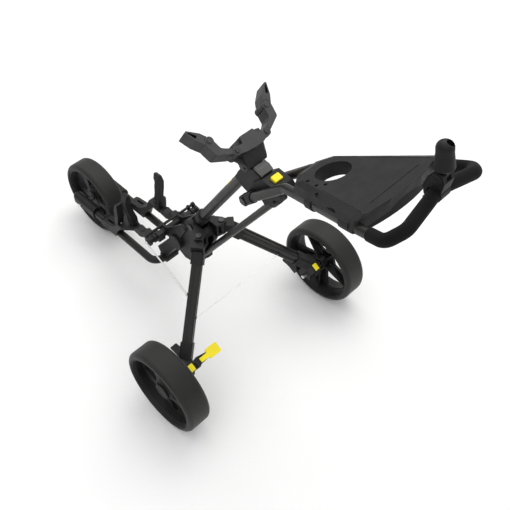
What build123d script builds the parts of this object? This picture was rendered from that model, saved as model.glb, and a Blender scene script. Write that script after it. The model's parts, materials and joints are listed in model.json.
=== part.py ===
"""Folding three-wheel golf push trolley, modelled as an assembly of separate pieces.

Frame: +X to the trolley's left, -Y forwards, +Z up, millimetres. The origin is on the ground,
under the middle of the trolley's plan box. Left pieces stand at +X.
"""
from build123d import *
from math import atan2, cos, degrees, radians, sin, sqrt
import os

os.makedirs("parts", exist_ok=True)

# ---------------------------------------------------------------- driving dimensions
rear_wheel_radius = 140.0
front_wheel_radius = 136.0
rear_tyre_width = 79.0
front_tyre_width = 71.0
rear_track = 668.0
wheelbase = 783.0
rear_axle_y = 186.0
front_axle_y = rear_axle_y - wheelbase
axle_radius = 6.0
running_gap = 0.3
pin_gap = 0.05

spine_angle = 57.2
spine_radius = 15.5
strut_angle = 55.5
strut_radius = 9.8
tube_wall = 1.8
fork_radius = 13.0
handle_radius = 12.0
grip_radius = 14.3
leg_width = 30.0
leg_depth = 30.0


def at(x, behind, up):
    """A point measured from the ground point midway under the rear axle."""
    return Vector(x, rear_axle_y + behind, up)


spine_pivot = at(0, -217, 414)
strut_pivot = at(0, -212, 269)
handle_pivot = at(0, 45, 724)
crossbar_centre = at(0, -345, 306)
spine_direction = Vector(0, cos(radians(spine_angle)), sin(radians(spine_angle)))
spine_front = Vector(0, -sin(radians(spine_angle)), cos(radians(spine_angle)))
strut_direction = Vector(0, cos(radians(strut_angle)), sin(radians(strut_angle)))


def on_spine(x, along, front):
    """A point by its distance along the spine from its pivot and its distance in front of it."""
    return spine_pivot + Vector(x, 0, 0) + spine_direction * along + spine_front * front


def across_spine(along, x=0.0, front=0.0):
    """Plane square to the spine: local x is the trolley's X, local y points to its front."""
    return Plane(origin=on_spine(x, along, front), x_dir=(-1, 0, 0), z_dir=spine_direction)


def side_plane(x):
    """Plane whose local x is +Y and local y is +Z, at distance x from the middle."""
    return Plane(origin=(x, 0, 0), x_dir=(0, 1, 0), z_dir=(1, 0, 0))


def run(start, end):
    """Plane at start whose normal points to end."""
    direction = end - start
    sideways = abs(direction.X) > 0.9 * direction.length
    return Plane(origin=start, x_dir=(0, 1, 0) if sideways else (1, 0, 0), z_dir=direction)


def save(piece, name):
    """Label one finished piece and write it as its own STEP file."""
    piece.part.label = name
    export_step(piece.part, f"parts/{name}.step")


def mirrored(piece):
    """The same piece on the trolley's other side."""
    with BuildPart() as twin:
        mirror(piece.part, about=Plane.YZ)
    return twin


def save_pair(piece, name):
    """Write a left piece and its mirrored right twin."""
    save(piece, f"{name}_left")
    save(mirrored(piece), f"{name}_right")


def save_both(piece, name):
    """Write a left piece and its mirrored twin as one node."""
    with BuildPart() as both:
        add(piece.part)
        mirror(piece.part, about=Plane.YZ)
    save(both, name)


def rod(start, end, radius, bore=0.0):
    """Straight round bar or tube between two points."""
    with BuildPart() as piece:
        with BuildSketch(run(start, end)):
            Circle(radius)
            if bore:
                Circle(bore, mode=Mode.SUBTRACT)
        extrude(amount=(end - start).length)
    return piece


def side_points(*points):
    """Side-plane coordinates of points given behind and above the rear axle's ground point."""
    return [(rear_axle_y + behind, up) for behind, up in points]


# ---------------------------------------------------------------- wheels
tyre_thickness = 17.0
shoulder_radius = 14.0
bead_radius = 2.5
hub_radius = 21.0
window_count = 5
window_span = 46.0
window_inner = 38.0
pin_circle = 15.0


def tyre(centre, radius, width):
    """Smooth solid tyre with round shoulders."""
    section = Plane(origin=centre, x_dir=(1, 0, 0), z_dir=(0, -1, 0))
    with BuildPart() as piece:
        with BuildSketch(section) as profile:
            with Locations((0, radius - tyre_thickness / 2)):
                Rectangle(width, tyre_thickness)
            fillet(profile.vertices().group_by(Axis.Y)[-1], shoulder_radius)
            fillet(profile.vertices().group_by(Axis.Y)[0], bead_radius)
        revolve(axis=Axis(centre, (1, 0, 0)))
    return piece


def rim(centre, radius, width, outward, brake_groove=False):
    """Deep rim: barrel, coned web with windows, ribs, and a long hub with an axle bore."""
    section = Plane(origin=centre, x_dir=(outward, 0, 0), z_dir=(0, -outward, 0))
    seat = radius - tyre_thickness
    half = width / 2
    with BuildPart() as piece:
        with BuildSketch(section):
            with BuildLine():
                Polyline(
                    (-half + 3, seat),
                    (half - 3, seat),
                    (half - 3, seat - 4.5),
                    (half - 14, seat - 9),
                    (5, seat - 11),
                    (16, hub_radius + 14),
                    (22, hub_radius + 4),
                    (22, axle_radius + pin_gap),
                    (-24, axle_radius + pin_gap),
                    (-24, hub_radius + 1),
                    (6, hub_radius),
                    (8, hub_radius + 12),
                    (-4, seat - 11),
                    (-half + 14, seat - 8),
                    (-half + 3, seat - 4),
                    close=True,
                )
            make_face()
        revolve(axis=Axis(centre, (1, 0, 0)))
        if brake_groove:
            groove_plane = Plane(origin=centre - Vector(outward * 24, 0, 0), x_dir=(0, 1, 0), z_dir=(outward, 0, 0))
            with BuildSketch(groove_plane):
                Circle(pin_circle + 3.5)
                Circle(pin_circle - 3.8, mode=Mode.SUBTRACT)
            extrude(amount=9, mode=Mode.SUBTRACT)
        with BuildSketch(Plane(origin=centre - Vector(30, 0, 0), x_dir=(0, 1, 0), z_dir=(1, 0, 0))):
            for i in range(window_count):
                start = 90 + i * 360 / window_count - window_span / 2
                with BuildLine():
                    low = CenterArc((0, 0), window_inner, start, window_span)
                    high = CenterArc((0, 0), seat - 13, start, window_span)
                    Line(low @ 0, high @ 0)
                    Line(low @ 1, high @ 1)
                make_face()
        extrude(amount=60, mode=Mode.SUBTRACT)
        cut_edges = [
            e
            for e in piece.edges().filter_by(Axis.X)
            if hub_radius + 5 < (e.center() - centre).length < seat - 5
        ]
        fillet(cut_edges, 7)
        rib_start = hub_radius + 1
        rib_plane = Plane(origin=centre - Vector(outward * 16, 0, 0), x_dir=(0, 1, 0), z_dir=(outward, 0, 0))
        with BuildSketch(rib_plane):
            with PolarLocations(0, window_count, start_angle=90 + 180 / window_count):
                with Locations(((rib_start + seat - 12) / 2, 0)):
                    Rectangle(seat - 12 - rib_start, 5)
        extrude(amount=18)
    return piece


def hub_cap(centre, outward):
    """Domed cap that closes the hub's outer end."""
    section = Plane(origin=centre, x_dir=(outward, 0, 0), z_dir=(0, -outward, 0))
    with BuildPart() as piece:
        with BuildSketch(section):
            with BuildLine():
                Polyline((22, 0), (22, 27), (24.5, 27))
                RadiusArc((24.5, 27), (27.5, 23), 4)
                Polyline((27.5, 23), (27.5, 18), (26.3, 16), (26.8, 0), (22, 0))
            make_face()
        revolve(axis=Axis(centre, (1, 0, 0)))
    return piece


rear_centre = at(rear_track / 2, 0, rear_wheel_radius)
front_centre = at(0, -wheelbase, front_wheel_radius)

rear_tyre = tyre(rear_centre, rear_wheel_radius, rear_tyre_width)
save_pair(rear_tyre, "rear_tyre")
rear_rim = rim(rear_centre, rear_wheel_radius, rear_tyre_width, 1, brake_groove=True)
save_pair(rear_rim, "rear_rim")
rear_cap = hub_cap(rear_centre, 1)
save_pair(rear_cap, "rear_hub_cap")

front_tyre = tyre(front_centre, front_wheel_radius, front_tyre_width)
save(front_tyre, "front_tyre")
front_rim = rim(front_centre, front_wheel_radius, front_tyre_width, 1)
save(front_rim, "front_rim")


# ---------------------------------------------------------------- front fork
fork_x = 60.0
fork_bend = 34.0
sleeve_length = 120.0
sleeve_half_width = 17.0
sleeve_half_height = 25.0

fork_front = at(fork_x, -768, 147)
fork_corner = at(fork_x, -388, 136)
fork_cross = at(0, -388, 136)

with BuildPart() as fork_tube:
    with BuildLine() as fork_path:
        FilletPolyline(
            fork_front,
            fork_corner,
            Vector(-fork_x, fork_corner.Y, fork_corner.Z),
            Vector(-fork_x, fork_front.Y, fork_front.Z),
            radius=fork_bend,
        )
    with BuildSketch(run(fork_front, fork_corner)):
        Circle(fork_radius)
        Circle(fork_radius - tube_wall, mode=Mode.SUBTRACT)
    sweep()
save(fork_tube, "fork_tube")

front_axle_left = front_centre + Vector(fork_x + sleeve_half_width, 0, 0)
sleeve_start = at(fork_x, -822, 148.5)
sleeve_end = at(fork_x, -702, 145)
with BuildPart() as fork_sleeve:
    with BuildSketch(run(sleeve_start, sleeve_end)):
        SlotOverall(2 * sleeve_half_height, 2 * sleeve_half_width, rotation=90)
    extrude(amount=sleeve_length)
    fillet(fork_sleeve.faces().sort_by(Axis.Y)[0].edges(), 12)
    fillet(fork_sleeve.faces().sort_by(Axis.Y)[-1].edges(), 1.5)
    with BuildSketch(run(fork_front, fork_corner)):
        Circle(fork_radius)
    extrude(amount=sleeve_length, mode=Mode.SUBTRACT)
    with BuildSketch(run(sleeve_end, sleeve_start)):
        Circle(fork_radius + 2.5)
    extrude(amount=14, both=True, mode=Mode.SUBTRACT)
    with BuildSketch(side_plane(fork_x)):
        with Locations((front_centre.Y, front_centre.Z)):
            Circle(axle_radius)
    extrude(amount=sleeve_half_width + 5, both=True, mode=Mode.SUBTRACT)
save_both(fork_sleeve, "fork_sleeves")

with BuildPart() as front_axle:
    with BuildSketch(side_plane(0)):
        with Locations((front_centre.Y, front_centre.Z)):
            Circle(axle_radius)
    extrude(amount=fork_x + sleeve_half_width, both=True)
    for side in (1, -1):
        with BuildSketch(side_plane(side * (fork_x + sleeve_half_width))):
            with Locations((front_centre.Y, front_centre.Z)):
                Circle(9.5)
        extrude(amount=side * 4.5)
    fillet(front_axle.edges().filter_by(GeomType.CIRCLE).group_by(Axis.X)[-1], 2)
    fillet(front_axle.edges().filter_by(GeomType.CIRCLE).group_by(Axis.X)[0], 2)
    for side in (1, -1):
        with BuildSketch(side_plane(side * 24.3)):
            with Locations((front_centre.Y, front_centre.Z)):
                Circle(10)
        extrude(amount=side * (fork_x - sleeve_half_width - 24.3))
save(front_axle, "front_axle")

# ---------------------------------------------------------------- hub casting and front beam
block_half = 27.0
spine_slot_half = 14.3
strut_slot_half = 10.3
pivot_pin_radius = 6.0
strut_pin_radius = 5.0
leg_pivot = at(44, -160, 408)
knuckle_half_height = 15.0
knuckle_radius = 13.0
ear_thickness = 8.0
barrel_centre = at(0, -288, 300)

with BuildPart() as hub_casting:
    with BuildSketch(side_plane(0)) as hub_side:
        with BuildLine():
            Polyline(
                *side_points(
                    (-300, 262),
                    (-300, 318),
                    (-262, 352),
                    (-241, 392),
                    (-217, 424),
                    (-192, 416),
                    (-168, 406),
                    (-160, 372),
                    (-176, 335),
                    (-190, 300),
                    (-194, 262),
                    (-222, 250),
                    (-262, 240),
                ),
                close=True,
            )
        make_face()
        fillet(hub_side.vertices(), 6)
        with Locations((spine_pivot.Y, spine_pivot.Z)):
            Circle(24)
        with Locations((barrel_centre.Y, barrel_centre.Z)):
            Circle(27)
        with Locations((strut_pivot.Y, strut_pivot.Z)):
            Circle(17)
    extrude(amount=block_half, both=True)
    with BuildSketch(side_plane(0)):
        with Locations((spine_pivot.Y, spine_pivot.Z)):
            Circle(27)
        with BuildLine():
            Polyline(*side_points((-217, 387), (-260, 387), (-260, 470), (-150, 470), (-190, 405)), close=True)
        make_face()
    extrude(amount=spine_slot_half, both=True, mode=Mode.SUBTRACT)
    with BuildSketch(side_plane(0)):
        with Locations((strut_pivot.Y, strut_pivot.Z)):
            Circle(14)
        with BuildLine():
            Polyline(*side_points((-228, 270), (-180, 392), (-120, 392), (-120, 250), (-203, 255)), close=True)
        make_face()
    extrude(amount=strut_slot_half, both=True, mode=Mode.SUBTRACT)
    for side in (1, -1):
        wing_x = side * leg_pivot.X
        for level in (leg_pivot.Z + knuckle_half_height + running_gap, leg_pivot.Z - knuckle_half_height - running_gap - ear_thickness):
            with BuildSketch(Plane.XY.offset(level)):
                with BuildLine():
                    Polyline(
                        (side * 20, rear_axle_y - 205),
                        (side * 40, rear_axle_y - 190),
                        (wing_x + side * 12, rear_axle_y - 168),
                        (wing_x - side * 4, rear_axle_y - 147),
                        (side * 20, rear_axle_y - 152),
                        close=True,
                    )
                make_face()
                with Locations((wing_x, leg_pivot.Y)):
                    Circle(knuckle_radius + 1)
            extrude(amount=ear_thickness)
        with BuildSketch(Plane.XY.offset(leg_pivot.Z - knuckle_half_height - running_gap - ear_thickness)):
            with BuildLine():
                Polyline(
                    (side * 18, rear_axle_y - 210),
                    (side * 40, rear_axle_y - 190),
                    (side * 27, rear_axle_y - 177),
                    (side * 25, rear_axle_y - 152),
                    (side * 18, rear_axle_y - 152),
                    close=True,
                )
            make_face()
        extrude(amount=2 * (knuckle_half_height + running_gap + ear_thickness))
    for start, end, radius in ((block_half, 32, 26), (32, 36, 23), (36, 42, 26)):
        for side in (1, -1):
            with BuildSketch(side_plane(side * start)):
                with Locations((barrel_centre.Y, barrel_centre.Z)):
                    Circle(radius)
            extrude(amount=side * (end - start))
    with BuildSketch(side_plane(0)):
        with Locations((spine_pivot.Y, spine_pivot.Z)):
            Circle(pivot_pin_radius)
        with Locations((strut_pivot.Y, strut_pivot.Z)):
            Circle(strut_pin_radius)
    extrude(amount=60, both=True, mode=Mode.SUBTRACT)
    with BuildSketch(Plane.XY.offset(leg_pivot.Z - 40)):
        for side in (1, -1):
            with Locations((side * leg_pivot.X, leg_pivot.Y)):
                Circle(pivot_pin_radius - 1)
    extrude(amount=80, mode=Mode.SUBTRACT)
save(hub_casting, "hub_casting")

with BuildPart() as front_beam:
    with BuildSketch(side_plane(0)) as beam_side:
        with BuildLine():
            Polyline(
                *side_points((-300, 316), (-300, 264), (-372, 152), (-405, 150), (-414, 172), (-398, 190)),
                close=True,
            )
        make_face()
        fillet(beam_side.vertices().group_by(Axis.X)[0], 8)
        with Locations((fork_cross.Y, fork_cross.Z)):
            Circle(fork_radius + 7)
    extrude(amount=23, both=True)
    with BuildSketch(side_plane(0)):
        with Locations((fork_cross.Y, fork_cross.Z)):
            Circle(fork_radius)
        with Locations((barrel_centre.Y, barrel_centre.Z)):
            Circle(27)
    extrude(amount=40, both=True, mode=Mode.SUBTRACT)
save(front_beam, "front_beam")

with BuildPart() as hub_pins:
    with BuildSketch(side_plane(0)):
        with Locations((spine_pivot.Y, spine_pivot.Z)):
            Circle(pivot_pin_radius)
        with Locations((strut_pivot.Y, strut_pivot.Z)):
            Circle(strut_pin_radius)
    extrude(amount=block_half, both=True)
    for side in (1, -1):
        with BuildSketch(side_plane(side * block_half)):
            with Locations((spine_pivot.Y, spine_pivot.Z)):
                Circle(10)
            with Locations((strut_pivot.Y, strut_pivot.Z)):
                Circle(9)
        extrude(amount=side * 4)
    ear_top = knuckle_half_height + running_gap + ear_thickness
    with BuildSketch(Plane.XY.offset(leg_pivot.Z - ear_top)):
        for side in (1, -1):
            with Locations((side * leg_pivot.X, leg_pivot.Y)):
                Circle(pivot_pin_radius - 1)
    extrude(amount=2 * ear_top)
    for side in (1, -1):
        with BuildSketch(Plane.XY.offset(leg_pivot.Z + ear_top)):
            with Locations((side * leg_pivot.X, leg_pivot.Y)):
                Circle(9)
        extrude(amount=4)
save(hub_pins, "hub_pins")


# ---------------------------------------------------------------- crossbar
crossbar_radius = 11.0
crossbar_half = 92.0
crossbar_left = crossbar_centre + Vector(crossbar_half, 0, 0)
stay_rod_centre = crossbar_centre + Vector(0, -12, 14)

with BuildPart() as crossbar:
    with BuildSketch(side_plane(0)):
        with Locations((crossbar_centre.Y, crossbar_centre.Z)):
            Circle(crossbar_radius)
        with Locations((stay_rod_centre.Y, stay_rod_centre.Z)):
            Circle(4.5)
    extrude(amount=crossbar_half, both=True)
    for inner, width in ((34, 7), (74, 6), (crossbar_half, 8)):
        for side in (1, -1):
            with BuildSketch(side_plane(side * inner)):
                with Locations((crossbar_centre.Y, crossbar_centre.Z)):
                    Circle(crossbar_radius + 4)
                with Locations((stay_rod_centre.Y, stay_rod_centre.Z)):
                    Circle(7.5)
            extrude(amount=side * width)
    for side in (1, -1):
        with BuildSketch(side_plane(side * block_half)):
            with BuildLine():
                Polyline(
                    *side_points((-352, 288), (-334, 292), (-268, 330), (-236, 388), (-256, 398), (-330, 330), (-352, 326)),
                    close=True,
                )
            make_face()
        extrude(amount=side * 7)
    add(hub_casting.part, mode=Mode.SUBTRACT)
save(crossbar, "crossbar")

# ---------------------------------------------------------------- spine
def spine_points(*points):
    """Side-plane coordinates of points given along the spine and in front of it."""
    corners = [on_spine(0, along, front) for along, front in points]
    return [(corner.Y, corner.Z) for corner in corners]


collar_start = 42.0
collar_end = 68.0
spine_tube_end = 404.0
cheek_gap = 14.0
handle_tube_x = 45.0
lug_half = 8.5
head_half = 20.0
seat_radius = 7.0
strut_pin_length = 584.0
strut_seat = strut_pivot + strut_direction * strut_pin_length
bracket_pivot = on_spine(0, 463, 12)
bracket_pin_radius = 5.0
handle_pin_radius = 6.0

with BuildPart() as spine_collar:
    with BuildSketch(side_plane(0)):
        with Locations((spine_pivot.Y, spine_pivot.Z)):
            Circle(23)
        with BuildLine():
            Polyline(*spine_points((0, 20), (46, 17), (46, -17), (0, -20)), close=True)
        make_face()
    extrude(amount=spine_slot_half - running_gap, both=True)
    with BuildSketch(across_spine(collar_start)):
        Circle(spine_radius + 5.5)
    extrude(amount=collar_end - collar_start)
    fillet(spine_collar.faces().sort_by(Axis.Z)[-1].edges(), 2)
    with BuildSketch(across_spine(collar_start)):
        Circle(spine_radius)
    extrude(amount=60, mode=Mode.SUBTRACT)
    with BuildSketch(side_plane(0)):
        with Locations((spine_pivot.Y, spine_pivot.Z)):
            Circle(pivot_pin_radius + pin_gap)
    extrude(amount=30, both=True, mode=Mode.SUBTRACT)
save(spine_collar, "spine_collar")

with BuildPart() as spine_tube:
    with BuildSketch(across_spine(collar_start)):
        Circle(spine_radius)
        Circle(spine_radius - tube_wall, mode=Mode.SUBTRACT)
    extrude(amount=spine_tube_end - collar_start)
save(spine_tube, "spine_tube")

with BuildPart() as head_casting:
    with BuildSketch(across_spine(384)):
        Circle(spine_radius + 2.5)
    extrude(amount=62)
    with BuildSketch(side_plane(0)) as head_side:
        with BuildLine():
            Polyline(
                *spine_points(
                    (384, 12),
                    (384, -24),
                    (392, -62),
                    (418, -66),
                    (446, -52),
                    (478, -36),
                    (471, -8),
                    (460, 0),
                    (452, 14),
                ),
                close=True,
            )
        make_face()
        fillet(head_side.vertices(), 5)
        with Locations((bracket_pivot.Y, bracket_pivot.Z)):
            Circle(13)
    extrude(amount=head_half, both=True)
    with BuildSketch(side_plane(0)):
        with Locations((handle_pivot.Y, handle_pivot.Z)):
            Circle(14)
    extrude(amount=handle_tube_x - lug_half - running_gap, both=True)
    with BuildSketch(across_spine(360)):
        Circle(spine_radius)
    extrude(amount=spine_tube_end - 360, mode=Mode.SUBTRACT)
    for along in (412, 424):
        with BuildSketch(across_spine(along)):
            with Locations((0, 0)):
                Rectangle(4, 60)
        extrude(amount=-4, mode=Mode.SUBTRACT)
    with BuildSketch(side_plane(0)):
        with Locations((handle_pivot.Y, handle_pivot.Z)):
            Circle(handle_pin_radius)
        with Locations((bracket_pivot.Y, bracket_pivot.Z)):
            Circle(bracket_pin_radius)
    extrude(amount=60, both=True, mode=Mode.SUBTRACT)
save(head_casting, "head_casting")

with BuildPart() as head_pins:
    with BuildSketch(side_plane(0)):
        with Locations((handle_pivot.Y, handle_pivot.Z)):
            Circle(handle_pin_radius)
    extrude(amount=handle_tube_x + lug_half, both=True)
    with BuildSketch(side_plane(0)):
        with Locations((bracket_pivot.Y, bracket_pivot.Z)):
            Circle(bracket_pin_radius)
    extrude(amount=32, both=True)
    for side in (1, -1):
        with BuildSketch(side_plane(side * (handle_tube_x + lug_half + running_gap))):
            with Locations((handle_pivot.Y, handle_pivot.Z)):
                Circle(9.5)
        extrude(amount=side * 3.5)
        with BuildSketch(side_plane(side * (32 + running_gap))):
            with Locations((bracket_pivot.Y, bracket_pivot.Z)):
                Circle(8)
        extrude(amount=side * 3)
    with BuildSketch(side_plane(0)):
        with Locations((handle_pivot.Y, handle_pivot.Z)):
            Circle(handle_pin_radius - 2)
    extrude(amount=handle_tube_x + lug_half + 2, both=True)
    with BuildSketch(side_plane(0)):
        with Locations((bracket_pivot.Y, bracket_pivot.Z)):
            Circle(bracket_pin_radius - 2)
    extrude(amount=34, both=True)
save(head_pins, "head_pins")

button_half_x = 13.0
button_half_y = 9.5
button_top = at(0, 107, 808)
button_direction = Vector(0, sin(radians(14)), cos(radians(14)))
button_plane = Plane(origin=button_top, x_dir=(1, 0, 0), z_dir=button_direction)

with BuildPart() as catch_block:
    with BuildSketch(side_plane(0)) as block_side:
        with BuildLine():
            Polyline(
                *side_points((70, 792), (86, 806), (130, 800), (146, 788), (148, 776), (136, 770), (96, 726), (70, 752), (48, 768)),
                close=True,
            )
        make_face()
        fillet(block_side.vertices(), 3)
    extrude(amount=29, both=True)
    add(head_casting.part, mode=Mode.SUBTRACT)
    with BuildSketch(side_plane(0)):
        with Locations((strut_seat.Y, strut_seat.Z)):
            Circle(seat_radius + running_gap)
        with BuildLine():
            Polyline(*side_points((90, 712), (128, 769), (160, 760), (150, 690)), close=True)
        make_face()
    extrude(amount=40, both=True, mode=Mode.SUBTRACT)
    with BuildSketch(side_plane(0)):
        with Locations((strut_seat.Y, strut_seat.Z)):
            Circle(20)
        with BuildLine():
            Polyline(*side_points((84, 704), (84, 728), (108, 768), (150, 792), (160, 760)), close=True)
        make_face()
    extrude(amount=cheek_gap, both=True, mode=Mode.SUBTRACT)
    with BuildSketch(button_plane.offset(-16)):
        Rectangle(2 * button_half_x + 0.8, 2 * button_half_y + 0.8)
    extrude(amount=30, mode=Mode.SUBTRACT)
save(catch_block, "catch_block")

with BuildPart() as catch_button:
    with BuildSketch(button_plane.offset(-10)):
        Rectangle(2 * button_half_x, 2 * button_half_y)
    extrude(amount=12)
    fillet(catch_button.edges().filter_by(lambda edge: abs(edge.tangent_at(0).dot(button_direction)) > 0.99), 3)
    fillet(catch_button.faces().sort_by(Axis.Z)[-1].edges(), 1.5)
save(catch_button, "catch_button")

with BuildPart() as latch_lever:
    with BuildSketch(side_plane(0)) as lever_side:
        with BuildLine():
            Polyline(*spine_points((474, -8), (482, -38), (489, -36), (490, -20), (483, -6)), close=True)
        make_face()
        fillet(lever_side.vertices(), 1.5)
    extrude(amount=18, both=True)
save(latch_lever, "latch_lever")


# ---------------------------------------------------------------- upper bag cradle
cradle_top = 518.0
cradle_height = 48.0
tongue_height = 18.0
tongue_drop = (cradle_height - tongue_height) / 2
root_bolt = (47.4, 43.0)
middle_bolt = (91.8, 97.0)
elbow = (91.0, 65.0)
knuckle_outer = 11.0
cradle_bolt_radius = 3.5
slot_radius = knuckle_outer + 1.0


def cradle_level(drop):
    """Plane square to the spine, facing down it: local x is +X, local y points to the front."""
    return Plane(origin=on_spine(0, cradle_top - drop, 0), x_dir=(1, 0, 0), z_dir=-spine_direction)


with BuildPart() as bracket_yoke:
    with BuildSketch(cradle_level(0)) as yoke_plate:
        with BuildLine():
            Polyline(
                (45, 33),
                (27, 29),
                (0, 27),
                (-27, 29),
                (-45, 33),
                (-46, 52),
                (-26, 51),
                (-20, 68),
                (20, 68),
                (26, 51),
                (46, 52),
                close=True,
            )
        make_face()
        with Locations(root_bolt, (-root_bolt[0], root_bolt[1])):
            Circle(knuckle_outer)
    extrude(amount=cradle_height)
    with BuildSketch(cradle_level(14)):
        with BuildLine():
            Polyline((44, 63), (22, 67), (20, 40), (46, 45), close=True)
        make_face()
        with BuildLine():
            Polyline((-44, 63), (-22, 67), (-20, 40), (-46, 45), close=True)
        make_face()
    extrude(amount=cradle_height - 14)
    with BuildSketch(cradle_level(cradle_height - 6)):
        with BuildLine():
            Polyline((52, 36), (0, 24), (-52, 36), (-40, 60), (40, 60), close=True)
        make_face()
    with BuildSketch(cradle_level(cradle_top - 478)):
        with BuildLine():
            Polyline((34, 0), (0, -4), (-34, 0), (-30, 28), (30, 28), close=True)
        make_face()
    loft()
    with BuildSketch(side_plane(0)) as yoke_neck:
        with BuildLine():
            Polyline(*spine_points((500, 32), (500, 62), (474, 52), (452, 24), (450, 4), (458, -4), (478, -4)), close=True)
        make_face()
        with Locations((bracket_pivot.Y, bracket_pivot.Z)):
            Circle(13)
    extrude(amount=31, both=True)
    with BuildSketch(side_plane(0)):
        with Locations((bracket_pivot.Y, bracket_pivot.Z)):
            Circle(14.5)
        with BuildLine():
            Polyline(*spine_points((420, 40), (452, 34), (464, 26.5), (477.5, 12), (477.5, -20), (420, -20)), close=True)
        make_face()
    extrude(amount=head_half + running_gap, both=True, mode=Mode.SUBTRACT)
    with BuildSketch(cradle_level(tongue_drop - running_gap)):
        with Locations(root_bolt, (-root_bolt[0], root_bolt[1])):
            Circle(slot_radius)
    extrude(amount=tongue_height + 2 * running_gap, mode=Mode.SUBTRACT)
    with BuildSketch(cradle_level(-5)):
        with Locations(root_bolt, (-root_bolt[0], root_bolt[1])):
            Circle(cradle_bolt_radius)
    extrude(amount=cradle_height + 10, mode=Mode.SUBTRACT)
    with BuildSketch(side_plane(0)):
        with Locations((bracket_pivot.Y, bracket_pivot.Z)):
            Circle(bracket_pin_radius + pin_gap)
    extrude(amount=60, both=True, mode=Mode.SUBTRACT)
save(bracket_yoke, "bracket_yoke")


def cradle_bolt(*places):
    """Bolts square to the cradle plates, with a domed head on top and a nut below."""
    with BuildPart() as piece:
        with BuildSketch(cradle_level(0)):
            with Locations(*places):
                Circle(cradle_bolt_radius)
        extrude(amount=cradle_height)
        for drop in (-3.0, cradle_height):
            with BuildSketch(cradle_level(drop)):
                with Locations(*places):
                    Circle(6.2)
            extrude(amount=3)
    return piece


save(cradle_bolt(root_bolt, (-root_bolt[0], root_bolt[1])), "bracket_bolts")

with BuildPart() as upper_arm:
    with BuildSketch(cradle_level(0)) as arm_top:
        with BuildLine():
            Polyline((56, 40), (66, 44.5), (99, 61), (105, 93), (84, 99), (79, 70), (72, 64), (54, 54), close=True)
        make_face()
        fillet(arm_top.vertices().sort_by_distance((99, 61))[0], 10)
        fillet(arm_top.vertices().sort_by_distance((79, 70))[0], 9)
        with Locations(middle_bolt):
            Circle(knuckle_outer)
        with Locations(root_bolt):
            Circle(slot_radius, mode=Mode.SUBTRACT)
    extrude(amount=cradle_height)
    with BuildSketch(cradle_level(tongue_drop)):
        with BuildLine():
            Polyline((47.4, 33), (66, 43), (60, 58), (47.4, 53), close=True)
        make_face()
        with Locations(root_bolt):
            Circle(knuckle_outer - 1)
    extrude(amount=tongue_height)
    with BuildSketch(cradle_level(tongue_drop - running_gap)):
        with Locations(middle_bolt):
            Circle(slot_radius)
    extrude(amount=tongue_height + 2 * running_gap, mode=Mode.SUBTRACT)
    with BuildSketch(cradle_level(-5)):
        with Locations(root_bolt):
            Circle(cradle_bolt_radius + pin_gap)
    extrude(amount=cradle_height + 10, mode=Mode.SUBTRACT)
    with BuildSketch(cradle_level(0)):
        with Locations(middle_bolt):
            Circle(cradle_bolt_radius)
    extrude(amount=cradle_height)
    for drop in (-3.0, cradle_height):
        with BuildSketch(cradle_level(drop)):
            with Locations(middle_bolt):
                Circle(6.2)
        extrude(amount=3)
save_pair(upper_arm, "upper_arm")

with BuildPart() as upper_finger:
    with BuildSketch(cradle_level(0)):
        with BuildLine():
            Polyline((84, 104), (92, 110), (101, 124), (126, 145), (131, 143), (119, 113), (105, 93), close=True)
        make_face()
        with Locations(middle_bolt):
            Circle(slot_radius, mode=Mode.SUBTRACT)
    extrude(amount=cradle_height)
    with BuildSketch(cradle_level(tongue_drop)):
        with BuildLine():
            Polyline((84, 97), (90, 110), (110, 104), (102, 92), close=True)
        make_face()
        with Locations(middle_bolt):
            Circle(knuckle_outer - 1)
    extrude(amount=tongue_height)
    with BuildSketch(cradle_level(0)):
        with BuildLine():
            Polyline((110, 122), (123, 139), (126.5, 138.5), (117, 117), close=True)
        make_face()
    extrude(amount=12, mode=Mode.SUBTRACT)
    with BuildSketch(cradle_level(-5)):
        with Locations(middle_bolt):
            Circle(cradle_bolt_radius + pin_gap)
    extrude(amount=cradle_height + 10, mode=Mode.SUBTRACT)
save_pair(upper_finger, "upper_finger")


# ---------------------------------------------------------------- strut
strut_tube_start = 22.0
strut_tube_end = 566.0

with BuildPart() as strut_lower_end:
    with BuildSketch(side_plane(0)):
        with Locations((strut_pivot.Y, strut_pivot.Z)):
            Circle(12.5)
        with BuildLine():
            foot = strut_pivot + strut_direction * 26
            Polyline(
                (strut_pivot.Y - 10, strut_pivot.Z + 6),
                (foot.Y - 9, foot.Z + 6),
                (foot.Y + 9, foot.Z - 6),
                (strut_pivot.Y + 10, strut_pivot.Z - 6),
                close=True,
            )
        make_face()
    extrude(amount=strut_slot_half - running_gap, both=True)
    with BuildSketch(run(strut_pivot + strut_direction * strut_tube_start, strut_seat)):
        Circle(strut_radius)
    extrude(amount=60, mode=Mode.SUBTRACT)
    with BuildSketch(side_plane(0)):
        with Locations((strut_pivot.Y, strut_pivot.Z)):
            Circle(strut_pin_radius + pin_gap)
    extrude(amount=30, both=True, mode=Mode.SUBTRACT)

save(
    rod(
        strut_pivot + strut_direction * strut_tube_start,
        strut_pivot + strut_direction * strut_tube_end,
        strut_radius,
        strut_radius - tube_wall,
    ),
    "strut_tube",
)

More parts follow.
